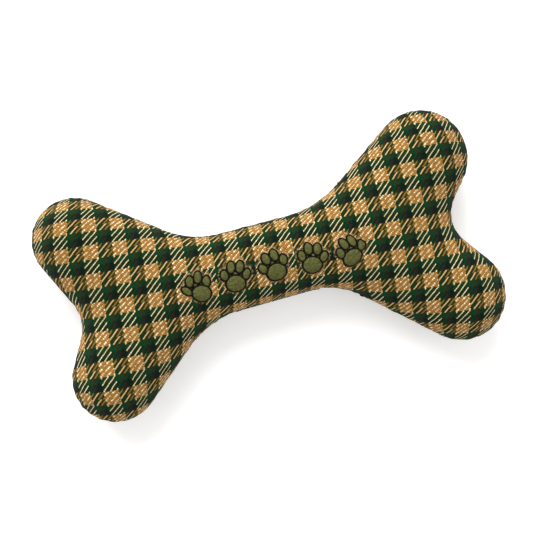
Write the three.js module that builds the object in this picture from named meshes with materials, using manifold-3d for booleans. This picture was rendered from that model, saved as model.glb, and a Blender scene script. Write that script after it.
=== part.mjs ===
// A stuffed, bone-shaped dog toy of checked wool tweed with a squeaker inside.
// Two cloth panels are sewn face to face round their edge, turned, filled with fibre and closed by hand.
// Millimetres. X runs along the bone, Y across it, Z up. The toy lies on its back panel on Z = 0,
// with the origin under the middle of its box.

import * as THREE from 'three';
import { mergeVertices } from 'three/addons/utils/BufferGeometryUtils.js';
import Module from 'manifold-3d';

const wasm = await Module();
wasm.setup();

const { lerp, clamp, smoothstep, degToRad } = THREE.MathUtils;

// Sizes of the bone's outline
const knobOut = 121.7; // from the middle to a knob's centre, along the bone
const knobAcross = 48.8; // from the middle line to a knob's centre
const knobRadius = 30.4;
const shaftHalfWidth = 26.6;
const waistOut = 23; // from the middle to where the shaft's straight side ends
const waistRadius = 62.7; // hollow between the shaft and a knob
const notchOut = 131.3; // from the middle to the bottom of the hollow in each end
const notchRadius = 25;

// Sizes of the swell
const endRise = 27; // half the thickness of each end
const shaftRise = 23; // half the thickness in the middle of the shaft
const forkOut = 88; // where the shaft's middle line forks towards two knobs
const forkEdgeOut = 60; // where the ribs of the fork reach the shaft's sides
const restFlat = 0.5; // how deep the cloth is pressed flat where the toy lies

// Sizes of the cloth, the seam and its threads
const clothThickness = 1.2;
const seamAllowance = 6;
const fitGap = 0.3; // clearance between pieces that touch
const stitchInset = 3; // from the sewn edge to the line of machine stitches
const seamThread = 0.5; // diameter
const closingThread = 0.7; // diameter
const closingPitch = 5; // from one hand stitch to the next
const closingLength = 60; // length of the opening that the toy was filled through
const closingReach = 1.1; // how far a hand stitch goes past the seam on each side

// Sizes of the embroidery and of the fleece that backs it
const pawCount = 5;
const pawPitch = 26.5; // from one paw print to the next
const pawHeight = 24;
const pawDrop = 3; // from the shaft's middle line down to the row of prints
const pawTilt = 12; // degrees, to one side and the other in turn
const borderRise = 0.5; // height of the stitched border
const borderWidth = 0.9;
const satinRise = 1.1; // height of the padded stitches above the border
const backingThickness = 0.3;

// Sizes of the squeaker
const bulbRadius = 18;
const bulbHeight = 24;
const bulbWall = 1.2;
const bulbRound = 8; // radius of the bulb's rounded rim
const housingRadius = 5;
const housingLength = 9;
const housingWall = 1.4;
const flangeRadius = 7.2;
const flangeThickness = 1.1;
const reedLength = 7;
const reedWidth = 3.6;
const reedThickness = 0.2;
const clipLength = 2;
const clipThickness = 1.2;

// Sizes of the filling
const bayHalfLength = 22; // half of the stretch of shaft that holds the squeaker
const knobCutOut = 30; // from the fork to the cut between an end's filling and a knob's

// Each corner of a hand-sewn toy comes out a little different from the pattern
const corners = {
  rightTop: {
    end: 1, side: 1, outShare: 0.98, acrossShare: 1.015, radiusShare: 1.08,
    waistOutShare: 0.71, waistRadiusShare: 1.145, halfWidthShare: 1.19,
  },
  leftTop: {
    end: -1, side: 1, outShare: 1.015, acrossShare: 0.98, radiusShare: 0.94,
    waistOutShare: 1.34, waistRadiusShare: 0.92, halfWidthShare: 1.14,
  },
  leftBottom: {
    end: -1, side: -1, outShare: 0.975, acrossShare: 0.985, radiusShare: 0.955,
    waistOutShare: 0.93, waistRadiusShare: 1.09, halfWidthShare: 0.865,
  },
  rightBottom: {
    end: 1, side: -1, outShare: 1.03, acrossShare: 1.02, radiusShare: 1.025,
    waistOutShare: 1.02, waistRadiusShare: 0.85, halfWidthShare: 0.805,
  },
};
const notches = {
  left: { end: -1, outShare: 1.007, driftShare: -0.19, radiusShare: 1.055 },
  right: { end: 1, outShare: 0.993, driftShare: 0.1, radiusShare: 0.945 },
};

// The pads of a paw print: places and half sizes as shares of the print's height, tilts in degrees
const pawPads = [
  { acrossShare: 0, upShare: -0.2, wideShare: 0.27, highShare: 0.23, tilt: 0 },
  { acrossShare: -0.31, upShare: 0.05, wideShare: 0.1, highShare: 0.145, tilt: 16 },
  { acrossShare: -0.125, upShare: 0.26, wideShare: 0.105, highShare: 0.16, tilt: 4 },
  { acrossShare: 0.125, upShare: 0.26, wideShare: 0.105, highShare: 0.16, tilt: -4 },
  { acrossShare: 0.31, upShare: 0.05, wideShare: 0.1, highShare: 0.145, tilt: -16 },
];
const padShoulderShare = 0.62; // how far out a pad's rounded top reaches
const padShoulderRiseShare = 0.85; // how high it is there

// Counts of steps in the faceted surfaces
const knobSteps = 10; // round a knob
const branchSteps = 4; // from a knob to the fork
const shaftSteps = 8; // from fork to fork
const clothRings = 5; // from the middle line to the seam
const fillRings = 3;
const backingRings = 2; // of the cloth's rings, on each side of the middle line
const backingSteps = 6; // of the shaft's steps
const roundSides = 16;
const padSides = 10;
const threadSides = 5;
const seamSteps = 90;
const stepsPerStitch = 4;
const quarterSteps = 24;
const halvings = 24; // of a share, when a place along a path is looked for

// Outline of the sewn edge

function knob(corner) {
  const out = knobOut * corner.outShare;
  const across = knobAcross * corner.acrossShare;
  return {
    centre: new THREE.Vector2(corner.end * out, corner.side * across),
    turn: knobRadius * corner.radiusShare,
  };
}

function waist(corner) {
  const radius = waistRadius * corner.waistRadiusShare;
  const across = shaftHalfWidth * corner.halfWidthShare + radius;
  return {
    centre: new THREE.Vector2(corner.end * waistOut * corner.waistOutShare, corner.side * across),
    turn: -radius,
  };
}

function hollow(notch) {
  const radius = notchRadius * notch.radiusShare;
  const out = notchOut * notch.outShare + radius;
  return {
    centre: new THREE.Vector2(notch.end * out, notchRadius * notch.driftShare),
    turn: -radius,
  };
}

// The outline is a line wrapped round these ten rounds in turn, counter-clockwise seen from above.
// A knob turns it left and has a positive radius. A hollow turns it right and has a negative one.
const rounds = [
  knob(corners.rightTop), waist(corners.rightTop), waist(corners.leftTop),
  knob(corners.leftTop), hollow(notches.left),
  knob(corners.leftBottom), waist(corners.leftBottom), waist(corners.rightBottom),
  knob(corners.rightBottom), hollow(notches.right),
];
const roundAt = (index) => rounds[index % rounds.length];

// The heading of the straight line that leaves a round and reaches the next
function headingAfter(index) {
  const from = roundAt(index);
  const to = roundAt(index + 1);
  const reach = to.centre.clone().sub(from.centre);
  return reach.angle() - Math.asin(clamp((to.turn - from.turn) / reach.length(), -1, 1));
}

const headings = rounds.map((_, index) => headingAfter(index));
const headingOut = (index) => headings[index % rounds.length];
const headingIn = (index) => headings[(index + rounds.length - 1) % rounds.length];

// Where a line with this heading touches a round, with the whole outline drawn in by inset
function touch(round, heading, inset) {
  const right = new THREE.Vector2(Math.sin(heading), -Math.cos(heading));
  return right.multiplyScalar(round.turn - inset).add(round.centre);
}

function followRound(path, index, inset) {
  const round = roundAt(index);
  const quarter = Math.sign(round.turn) * Math.PI / 2;
  const { x, y } = round.centre;
  const radius = Math.abs(round.turn - inset);
  path.absarc(x, y, radius, headingIn(index) - quarter, headingOut(index) - quarter, round.turn < 0);
}

function stretch(count, pointAt) {
  return Array.from({ length: count }, (_, step) => pointAt(step));
}

// Points along a path, evenly spaced between two shares of its length, without the last
function evenly(path, steps, from = 0, to = 1) {
  return stretch(steps, (step) => path.getPointAt(lerp(from, to, step / steps)));
}

function knobSpan(index, inset) {
  const path = new THREE.Path();
  followRound(path, index, inset);
  return evenly(path, knobSteps);
}

// From one knob to the next, round the hollows between them
function hollowPath(first, last, inset) {
  const path = new THREE.Path();
  const start = touch(roundAt(first), headingOut(first), inset);
  const stop = touch(roundAt(last), headingIn(last), inset);
  path.moveTo(start.x, start.y);
  for (let index = first + 1; index < last; index += 1) followRound(path, index, inset);
  path.lineTo(stop.x, stop.y);
  return path;
}

// The share of a side's path at which it is as far along the bone as x
function shareAt(path, x) {
  const rightward = Math.sign(path.getPointAt(1).x);
  let low = 0;
  let high = 1;
  for (let i = 0; i < halvings; i += 1) {
    const share = (low + high) / 2;
    if (rightward * (path.getPointAt(share).x - x) < 0) low = share;
    else high = share;
  }
  return low;
}

// How far along the bone a rib of the shaft reaches its side, square in the middle and fanned at the forks
function ribReach(x) {
  return x - (forkOut - forkEdgeOut) * (x / forkOut) ** 3;
}

// One side of the shaft, with its stations where the ribs from the middle line reach it
function sideSpan(first, last, inset) {
  const path = hollowPath(first, last, inset);
  const rightward = Math.sign(path.getPointAt(1).x);
  const shares = stretch(shaftSteps + 1, (step) => (
    shareAt(path, rightward * ribReach(forkOut * (2 * step / shaftSteps - 1)))));
  return [
    ...evenly(path, branchSteps, 0, shares[0]),
    ...shares.slice(0, shaftSteps).map((share) => path.getPointAt(share)),
    ...evenly(path, branchSteps, shares[shaftSteps], 1),
  ];
}

const notchSteps = 2 * branchSteps;
const notchSpan = (first, last, inset) => evenly(hollowPath(first, last, inset), notchSteps);

// The whole outline. Every inset has as many points, so that the layers lie parallel.
function outline(inset) {
  return [
    ...knobSpan(0, inset), ...sideSpan(0, 3, inset),
    ...knobSpan(3, inset), ...notchSpan(3, 5, inset),
    ...knobSpan(5, inset), ...sideSpan(5, 8, inset),
    ...knobSpan(8, inset), ...notchSpan(8, 10, inset),
  ];
}

// Middle line: a shaft that forks at both ends, with one branch to each knob's centre

function between(a, b, share) {
  return new THREE.Vector2(lerp(a.x, b.x, share), lerp(a.y, b.y, share));
}

const widthShares = Object.values(corners).map((corner) => corner.side * corner.halfWidthShare);
const bow = shaftHalfWidth * widthShares.reduce((sum, share) => sum + share) / widthShares.length;
const middle = new THREE.Vector2(0, bow);
const leftFork = new THREE.Vector2(-forkOut, 0);
const rightFork = new THREE.Vector2(forkOut, 0);

// Step 0 is a knob's centre, and the last step is the fork
function branchPoint(corner, step) {
  return between(knob(corner).centre, corner.end < 0 ? leftFork : rightFork, step / branchSteps);
}

// Step 0 is the right fork, and the last step is the left one
function shaftPoint(step) {
  const share = 2 * step / shaftSteps;
  return share < 1 ? between(rightFork, middle, share) : between(middle, leftFork, share - 1);
}

const stay = (corner) => stretch(knobSteps, () => knob(corner).centre);
const inward = (corner) => stretch(branchSteps, (step) => branchPoint(corner, step));
const outward = (corner) => stretch(branchSteps, (step) => branchPoint(corner, branchSteps - step));

// The partner on the middle line of each point of the outline
const spine = [
  ...stay(corners.rightTop), ...inward(corners.rightTop),
  ...stretch(shaftSteps, shaftPoint),
  ...outward(corners.leftTop), ...stay(corners.leftTop),
  ...inward(corners.leftTop), ...outward(corners.leftBottom),
  ...stay(corners.leftBottom), ...inward(corners.leftBottom),
  ...stretch(shaftSteps, (step) => shaftPoint(shaftSteps - step)),
  ...outward(corners.rightBottom), ...stay(corners.rightBottom),
  ...inward(corners.rightBottom), ...outward(corners.rightTop),
];

// The outline points that pair with a step of the shaft, on its upper and lower side in the plan
const upperStation = (step) => knobSteps + branchSteps + step;
const lowerStation = (step) => spine.length - notchSteps - knobSteps - branchSteps - step;

// Half the thickness of the stuffed toy above a point of the middle line
function riseAt(point) {
  return lerp(shaftRise, endRise, smoothstep(Math.abs(point.x), 0, forkOut));
}

// The swell

// A quarter of an ellipse from above the middle line, where tilt is 0, down to the edge
function swell(spinePoint, edgePoint, tilt, foot, crown) {
  const flat = between(spinePoint, edgePoint, Math.sin(tilt));
  return new THREE.Vector3(flat.x, flat.y, lerp(foot, crown, Math.cos(tilt)));
}

// One layer of cloth as rows of points, from the middle line to the edge, inset from the outer surface
function dome(inset, foot, rings) {
  const edge = outline(inset);
  return stretch(rings + 1, (ring) => edge.map((point, i) => (
    swell(spine[i], point, (ring / rings) * Math.PI / 2, foot, riseAt(spine[i]) - inset))));
}

function flatRow(inset, height) {
  return outline(inset).map((point) => new THREE.Vector3(point.x, point.y, height));
}

function mirrored(rows) {
  return rows.map((row) => row.map((point) => new THREE.Vector3(point.x, point.y, -point.z))).reverse();
}

// Solids

// Joins doubled points, drops triangles that have no width left and turns the faces outwards
function tidy(geometry) {
  const bare = geometry.clone();
  bare.deleteAttribute('normal');
  bare.deleteAttribute('uv');
  const merged = mergeVertices(bare);
  const place = merged.getAttribute('position');
  const corner = [0, 1, 2].map(() => new THREE.Vector3());
  const kept = [];
  let volume = 0;
  for (let i = 0; i < merged.index.count; i += 3) {
    const face = [0, 1, 2].map((k) => merged.index.getX(i + k));
    if (new Set(face).size < face.length) continue;
    face.forEach((vertex, k) => corner[k].fromBufferAttribute(place, vertex));
    volume += corner[0].dot(corner[1].clone().cross(corner[2]));
    kept.push(face);
  }
  merged.setIndex(kept.flatMap(([a, b, c]) => (volume < 0 ? [a, c, b] : [a, b, c])));
  return merged;
}

// Rows of points, each row a closed ring, with a face between each pair of neighbours
function skin(rows, joined = false) {
  const count = rows[0].length;
  const index = [];
  const last = joined ? rows.length : rows.length - 1;
  for (let r = 0; r < last; r += 1) {
    for (let i = 0; i < count; i += 1) {
      const a = r * count + i;
      const b = r * count + (i + 1) % count;
      const c = ((r + 1) % rows.length) * count + (i + 1) % count;
      const d = ((r + 1) % rows.length) * count + i;
      index.push(a, d, c, a, c, b);
    }
  }
  const geometry = new THREE.BufferGeometry().setFromPoints(rows.flat());
  geometry.setIndex(index);
  return tidy(geometry);
}

// A sheet between two grids of points, with its facets split as the lining's are
function sheet(upper, lower) {
  const deep = upper.length - 1;
  const wide = upper[0].length - 1;
  const rim = (grid) => [
    ...stretch(wide, (j) => grid[0][j]), ...stretch(deep, (i) => grid[i][wide]),
    ...stretch(wide, (j) => grid[deep][wide - j]), ...stretch(deep, (i) => grid[deep - i][0]),
  ];
  const points = [];
  const quad = (a, b, c, d) => points.push(a, b, c, a, c, d);
  for (let i = 0; i < deep; i += 1) {
    for (let j = 0; j < wide; j += 1) {
      quad(upper[i][j + 1], upper[i + 1][j + 1], upper[i + 1][j], upper[i][j]);
      quad(lower[i][j + 1], lower[i][j], lower[i + 1][j], lower[i + 1][j + 1]);
    }
  }
  const top = rim(upper);
  const bottom = rim(lower);
  top.forEach((point, i) => {
    const next = (i + 1) % top.length;
    quad(point, bottom[i], bottom[next], top[next]);
  });
  return tidy(new THREE.BufferGeometry().setFromPoints(points));
}

function lathe(profile, sides = roundSides) {
  const points = profile.map(([radius, height]) => new THREE.Vector2(radius, height));
  return tidy(new THREE.LatheGeometry(points, sides).rotateX(Math.PI / 2));
}

function tube(points, diameter, steps) {
  const section = new THREE.Shape(stretch(threadSides, (side) => {
    const angle = 2 * Math.PI * side / threadSides;
    return new THREE.Vector2(Math.cos(angle), Math.sin(angle)).multiplyScalar(diameter / 2);
  }));
  const extrudePath = new THREE.CatmullRomCurve3(points);
  return tidy(new THREE.ExtrudeGeometry(section, { steps, extrudePath, bevelEnabled: false }));
}

function box(low, high) {
  const size = high.clone().sub(low);
  const centre = low.clone().add(high).divideScalar(2);
  return new THREE.BoxGeometry(size.x, size.y, size.z).translate(centre.x, centre.y, centre.z);
}

// Cuts and joins

function toManifold(geometry) {
  const merged = tidy(geometry);
  return new wasm.Manifold(new wasm.Mesh({
    numProp: 3,
    vertProperties: new Float32Array(merged.getAttribute('position').array),
    triVerts: new Uint32Array(merged.index.array),
  }));
}

function toGeometry(manifold) {
  const mesh = manifold.getMesh();
  const place = new THREE.BufferAttribute(new Float32Array(mesh.vertProperties), mesh.numProp);
  return new THREE.BufferGeometry().setAttribute('position', place).setIndex([...mesh.triVerts]);
}

const cutReach = 2 * (knobOut + knobRadius); // longer than any piece

// Everything on the far side of a plane that stands across a heading, some way out from a point
function farSide(point, heading, out) {
  return toManifold(new THREE.BoxGeometry(cutReach, cutReach, cutReach)
    .translate(out + cutReach / 2, 0, 0).rotateZ(heading).translate(point.x, point.y, 0));
}

// Panels

const seamFoot = fitGap / 2; // from the seam's plane to each panel
const liningFoot = seamFoot + clothThickness;

// Over the middle line to the seam, in along the turned seam allowance and back under the cloth
const frontRows = [
  ...dome(0, seamFoot, clothRings),
  flatRow(seamAllowance, seamFoot),
  flatRow(seamAllowance, liningFoot),
  ...dome(clothThickness, liningFoot, clothRings).reverse(),
];
const frontPanel = skin(frontRows);

const floor = -(endRise - restFlat);
const belowFloor = box(
  new THREE.Vector3(-cutReach, -cutReach, floor - cutReach),
  new THREE.Vector3(cutReach, cutReach, floor),
);
const backPanel = toGeometry(toManifold(skin(mirrored(frontRows))).subtract(toManifold(belowFloor)));

// Threads

// A line round the whole toy that starts at the middle of the shaft's lower side, over the filled opening.
// With no tension it runs straight between the outline's points, as the panels' facets do.
function edgeCurve(inset) {
  const edge = outline(inset).map((point) => new THREE.Vector3(point.x, point.y, 0));
  const start = lowerStation(shaftSteps / 2);
  return new THREE.CatmullRomCurve3([...edge.slice(start), ...edge.slice(0, start)], true, 'catmullrom', 0);
}

function machineThread(side) {
  const curve = edgeCurve(stitchInset);
  const startShare = closingLength / 2 / curve.getLength();
  const height = side * (liningFoot + fitGap + seamThread / 2);
  const points = stretch(seamSteps + 1, (step) => (
    curve.getPointAt(lerp(startShare, 1 - startShare, step / seamSteps)).setZ(height)));
  return tube(points, seamThread, seamSteps);
}

// Hand stitches that slant to and fro across the seam
function handThread() {
  const curve = edgeCurve(-(fitGap + closingThread / 2));
  const turns = 2 * Math.round(closingLength / closingPitch);
  const points = stretch(turns + 1, (turn) => {
    const run = (turn / turns - 1 / 2) * closingLength / curve.getLength();
    return curve.getPointAt((run + 1) % 1).setZ(turn % 2 ? closingReach : -closingReach);
  });
  return tube(points, closingThread, turns * stepsPerStitch / 2);
}

// Embroidery

const sewnEdge = outline(0);

// A point of the front panel's outer face, measured along the shaft and then across it over the swell
function onCloth(along, across, lift) {
  const station = clamp((1 - along / forkOut) / 2, 0, 1) * shaftSteps;
  const before = Math.min(Math.floor(station), shaftSteps - 1);
  const share = station - before;
  const stationOf = across < 0 ? lowerStation : upperStation;
  const centre = between(shaftPoint(before), shaftPoint(before + 1), share);
  const edge = between(sewnEdge[stationOf(before)], sewnEdge[stationOf(before + 1)], share);
  const rise = lerp(riseAt(shaftPoint(before)), riseAt(shaftPoint(before + 1)), share);
  const half = centre.distanceTo(edge);
  // Walks down the swell until the distance across is used up
  const step = Math.PI / 2 / quarterSteps;
  let tilt = 0;
  let left = Math.abs(across);
  while (left > 0) {
    const pace = Math.hypot(half * Math.cos(tilt), rise * Math.sin(tilt)) * step;
    tilt += step * Math.min(1, left / pace);
    left -= pace;
  }
  const out = edge.clone().sub(centre).normalize().multiplyScalar(Math.sin(tilt) / half);
  const normal = new THREE.Vector3(out.x, out.y, Math.cos(tilt) / rise).normalize();
  return swell(centre, edge, tilt, seamFoot, rise).addScaledVector(normal, lift);
}

// A padded pad with a flat stitched border all round it
function pawPad(pad) {
  const wide = pad.wideShare * pawHeight;
  const high = pad.highShare * pawHeight;
  const profile = [
    [0, 0], [wide + borderWidth, 0], [wide + borderWidth, borderRise], [wide, borderRise],
    [wide * padShoulderShare, borderRise + satinRise * padShoulderRiseShare], [0, borderRise + satinRise],
  ];
  return lathe(profile, padSides).scale(1, (high + borderWidth) / (wide + borderWidth), 1)
    .rotateZ(degToRad(pad.tilt)).translate(pad.acrossShare * pawHeight, pad.upShare * pawHeight, 0);
}

const pawFlat = pawPads.map((pad) => toManifold(pawPad(pad))).reduce((all, pad) => all.add(pad));

function pawPrint(number) {
  const along = (number - (pawCount - 1) / 2) * pawPitch;
  const print = toGeometry(pawFlat).rotateZ(degToRad(number % 2 ? -pawTilt : pawTilt));
  const place = print.getAttribute('position');
  for (let i = 0; i < place.count; i += 1) {
    const point = new THREE.Vector3().fromBufferAttribute(place, i);
    const bent = onCloth(along + point.x, point.y - pawDrop, point.z + fitGap);
    place.setXYZ(i, bent.x, bent.y, bent.z);
  }
  return print;
}

// Fleece under the embroidery, one gap below the cloth and following its facets
function backing() {
  const first = (shaftSteps - backingSteps) / 2;
  const layer = (depth) => {
    const inset = clothThickness + depth;
    const edge = outline(inset);
    return stretch(backingSteps + 1, (row) => stretch(2 * backingRings + 1, (column) => {
      const ring = column - backingRings;
      const station = (ring < 0 ? lowerStation : upperStation)(first + row);
      const tilt = (Math.abs(ring) / clothRings) * Math.PI / 2;
      return swell(spine[station], edge[station], tilt, liningFoot, riseAt(spine[station]) - inset);
    }));
  };
  return sheet(layer(fitGap), layer(fitGap + backingThickness));
}

// Squeaker, a hollow bulb with a plug in its upper face that holds the reed

const bulbTop = bulbHeight / 2;

// Half of the bulb's side view, from the axis below to the mouth above
function bulbSide(grow) {
  const turn = bulbRound + grow;
  const steps = roundSides / 4;
  const arc = (height, from) => stretch(steps + 1, (step) => {
    const angle = from + (Math.PI / 2) * (step / steps);
    return [bulbRadius - bulbRound + turn * Math.cos(angle), height + turn * Math.sin(angle)];
  });
  return [[0, -bulbTop - grow], ...arc(bulbRound - bulbTop, -Math.PI / 2), ...arc(bulbTop - bulbRound, 0)];
}

const mouthRadius = housingRadius + fitGap;

function bulb() {
  const outer = [...bulbSide(0), [mouthRadius, bulbTop]];
  const inner = [...bulbSide(-bulbWall), [mouthRadius, bulbTop - bulbWall]];
  return lathe([...outer, ...inner.reverse()]);
}

const flangeFoot = bulbTop + fitGap;
const boreRadius = housingRadius - housingWall;

function housing() {
  const top = flangeFoot + flangeThickness;
  return lathe([
    [boreRadius, top - housingLength], [housingRadius, top - housingLength], [housingRadius, flangeFoot],
    [flangeRadius, flangeFoot], [flangeRadius, top], [boreRadius, top], [boreRadius, top - housingLength],
  ]);
}

const reedTop = flangeFoot + flangeThickness - fitGap;
const reedFoot = reedTop - reedLength;

// A half round that fills one side of the housing's bore, under the reed
function reedBed() {
  const round = new THREE.Shape();
  round.absarc(0, 0, boreRadius - fitGap, Math.PI, 2 * Math.PI, false);
  round.closePath();
  const run = { depth: reedLength, bevelEnabled: false, curveSegments: roundSides / 2 };
  return tidy(new THREE.ExtrudeGeometry(round, run).translate(0, 0, reedFoot));
}

function reed() {
  return tidy(box(
    new THREE.Vector3(-reedWidth / 2, fitGap, reedFoot),
    new THREE.Vector3(reedWidth / 2, fitGap + reedThickness, reedTop),
  ));
}

const clipFoot = 2 * fitGap + reedThickness;

function reedClip() {
  return tidy(box(
    new THREE.Vector3(-reedWidth / 2, clipFoot, reedTop - clipLength),
    new THREE.Vector3(reedWidth / 2, clipFoot + clipThickness, reedTop),
  ));
}

// Filling, cut into the handfuls that fill each part of the toy

const fillInset = clothThickness + fitGap + backingThickness + fitGap;
const grooveHeight = liningFoot + fitGap + seamThread + fitGap;

// The whole filling, with a groove round it for the seam allowances and their threads
const filling = (() => {
  const upper = dome(fillInset, 0, fillRings);
  const whole = toManifold(skin([...upper, ...mirrored(upper).slice(1)]));
  const inner = seamAllowance + fitGap;
  const groove = skin([
    flatRow(inner, grooveHeight), flatRow(0, grooveHeight),
    flatRow(0, -grooveHeight), flatRow(inner, -grooveHeight),
  ], true);
  return whole.subtract(toManifold(groove));
})();

// The room that a knob's handful takes, on its own side of the toy's middle
function knobRoom(corner, out, apart) {
  const fork = corner.end < 0 ? leftFork : rightFork;
  const beyond = farSide(fork, knob(corner).centre.clone().sub(fork).angle(), out);
  return beyond.intersect(farSide(fork, corner.side * Math.PI / 2, apart));
}

function knobFilling(corner) {
  return toGeometry(filling.intersect(knobRoom(corner, knobCutOut + fitGap / 2, fitGap / 2)));
}

function endFilling(end, upper, lower) {
  const heading = end < 0 ? Math.PI : 0;
  const half = filling.intersect(farSide(new THREE.Vector2(), heading, bayHalfLength + fitGap / 2));
  const cutOut = knobCutOut - fitGap / 2;
  return toGeometry(half.subtract(knobRoom(upper, cutOut, 0)).subtract(knobRoom(lower, cutOut, 0)));
}

// The handful above or below the squeaker, pressed round it
function bayFilling(side) {
  const lid = flangeFoot + flangeThickness + fitGap;
  const room = lathe([
    ...bulbSide(fitGap),
    [flangeRadius + fitGap, bulbTop + fitGap], [flangeRadius + fitGap, lid], [0, lid],
  ]).translate(0, bow, 0);
  const length = bayHalfLength - fitGap / 2;
  const bay = toManifold(box(
    new THREE.Vector3(-length, -cutReach, side < 0 ? -cutReach : fitGap / 2),
    new THREE.Vector3(length, cutReach, side < 0 ? -fitGap / 2 : cutReach),
  ));
  return toGeometry(filling.intersect(bay).subtract(toManifold(room)));
}

// Finishes

function finish(color, roughness, metalness = 0) {
  return new THREE.MeshStandardMaterial({ color, roughness, metalness });
}

function piece(name, geometry, material) {
  const mesh = new THREE.Mesh(geometry, material);
  mesh.name = name;
  return mesh;
}

const tweed = () => finish('#7d7440', 0.95);
const darkThread = () => finish('#22331f', 0.7);
const oliveThread = () => finish('#5f6a3c', 0.55);
const fibre = () => finish('#eceae2', 1);
const paleVinyl = () => finish('#e6e2d3', 0.45);
const hardPlastic = () => finish('#f2f0ea', 0.35);

// Assembly

const toy = new THREE.Group();
toy.add(
  piece('front_panel', frontPanel, tweed()),
  piece('back_panel', backPanel, tweed()),
  piece('needle_thread', machineThread(1), darkThread()),
  piece('bobbin_thread', machineThread(-1), darkThread()),
  piece('closing_thread', handThread(), darkThread()),
  piece('embroidery_backing', backing(), finish('#f4f3ee', 0.9)),
  ...stretch(pawCount, (number) => piece(`paw_print_${number + 1}`, pawPrint(number), oliveThread())),
  piece('filling_right_top_knob', knobFilling(corners.rightTop), fibre()),
  piece('filling_left_top_knob', knobFilling(corners.leftTop), fibre()),
  piece('filling_left_bottom_knob', knobFilling(corners.leftBottom), fibre()),
  piece('filling_right_bottom_knob', knobFilling(corners.rightBottom), fibre()),
  piece('filling_left_end', endFilling(-1, corners.leftTop, corners.leftBottom), fibre()),
  piece('filling_right_end', endFilling(1, corners.rightTop, corners.rightBottom), fibre()),
  piece('filling_over_squeaker', bayFilling(1), fibre()),
  piece('filling_under_squeaker', bayFilling(-1), fibre()),
);

const squeaker = new THREE.Group();
squeaker.position.set(middle.x, middle.y, 0);
squeaker.add(
  piece('squeaker_bulb', bulb(), paleVinyl()),
  piece('reed_housing', housing(), hardPlastic()),
  piece('reed_bed', reedBed(), hardPlastic()),
  piece('reed', reed(), finish('#d8d4c4', 0.3)),
  piece('reed_clip', reedClip(), hardPlastic()),
);
toy.add(squeaker);

// The box's middle goes over the origin, and the flat that the toy lies on goes to Z = 0
const reach = new THREE.Box2().setFromPoints(sewnEdge);
const centre = reach.getCenter(new THREE.Vector2());
toy.position.set(-centre.x, -centre.y, -floor);

export default toy;
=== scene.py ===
# Looks of a stuffed, bone-shaped dog toy of checked wool tweed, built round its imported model.
# Sizes are in millimetres and the pieces in metres. X runs along the bone, Y across it, Z up.

from functools import partialmethod

import bmesh
import bpy
import numpy as np
from mathutils import Matrix, Vector


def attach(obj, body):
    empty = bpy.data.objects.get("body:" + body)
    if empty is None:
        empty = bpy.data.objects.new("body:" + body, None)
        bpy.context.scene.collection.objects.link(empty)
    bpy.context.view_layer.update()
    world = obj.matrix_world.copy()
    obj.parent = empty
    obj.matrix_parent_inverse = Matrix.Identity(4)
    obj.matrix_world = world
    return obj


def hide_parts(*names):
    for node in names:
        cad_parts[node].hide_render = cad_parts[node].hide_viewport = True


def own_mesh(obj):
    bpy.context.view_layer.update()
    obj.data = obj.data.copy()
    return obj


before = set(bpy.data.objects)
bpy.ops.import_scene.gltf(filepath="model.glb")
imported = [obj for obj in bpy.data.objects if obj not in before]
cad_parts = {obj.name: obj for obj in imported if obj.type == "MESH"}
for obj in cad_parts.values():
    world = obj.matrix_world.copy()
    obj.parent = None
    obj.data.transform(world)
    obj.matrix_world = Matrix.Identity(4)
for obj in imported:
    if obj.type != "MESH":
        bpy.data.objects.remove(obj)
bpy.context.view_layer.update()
scene = bpy.context.scene


# Camera
# It looks down on the toy from about 0.65 m, a little from the left, with the bone rising to the right.

lens_length, film_width = 64.17, 36.0
camera_right = Vector((0.9674, -0.2308, 0.1045))
camera_up = Vector((0.2321, 0.9727, 0.0))
camera_place = Vector((-0.0708, 0.0162, 0.6726))


def placed(name, data):
    """A mesh, light or camera as an object in the scene."""
    placed_object = bpy.data.objects.new(name, data)
    scene.collection.objects.link(placed_object)
    return placed_object


camera = placed("camera", bpy.data.cameras.new("camera"))
camera.data.lens = lens_length
camera.data.sensor_width = film_width
camera_back = camera_right.cross(camera_up)
camera_axes = Matrix((camera_right, camera_up, camera_back)).transposed()
camera.matrix_world = Matrix.Translation(camera_place) @ camera_axes.to_4x4()
scene.camera = camera
scene.view_settings.view_transform = "Standard"


# Floor and light
# The toy lies on a plain white table that is softly lit from below, so only a faint shadow is left.
# A large soft lamp stands above the toy's far side in a pale room.

floor_reach = 3.0
floor_white = (0.93, 0.93, 0.93, 1)
floor_roughness, floor_glow = 0.7, 0.3
sky_strength = 0.72
lamps = [
    dict(name="key_lamp", place=(-0.35, 1.6, 1.35), size=1.5, power=52.0),
    dict(name="fill_lamp", place=(1.3, -0.9, 1.6), size=1.6, power=3.0),
]

floor_mesh = bpy.data.meshes.new("floor")
floor_corners = [(-floor_reach, -floor_reach, 0), (floor_reach, -floor_reach, 0),
                 (floor_reach, floor_reach, 0), (-floor_reach, floor_reach, 0)]
floor_mesh.from_pydata(floor_corners, [], [(0, 1, 2, 3)])
floor = placed("floor", floor_mesh)
floor_paint = bpy.data.materials.new("floor_paint")
floor_paint.use_nodes = True
floor_shader = floor_paint.node_tree.nodes["Principled BSDF"]
floor_shader.inputs["Base Color"].default_value = floor_white
floor_shader.inputs["Roughness"].default_value = floor_roughness
floor_shader.inputs["Emission Color"].default_value = (1, 1, 1, 1)
floor_shader.inputs["Emission Strength"].default_value = floor_glow
floor_mesh.materials.append(floor_paint)

world = bpy.data.worlds.new("room")
world.use_nodes = True
sky = world.node_tree.nodes["Background"]
sky.inputs["Color"].default_value = (1, 1, 1, 1)
sky.inputs["Strength"].default_value = sky_strength
scene.world = world

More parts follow.
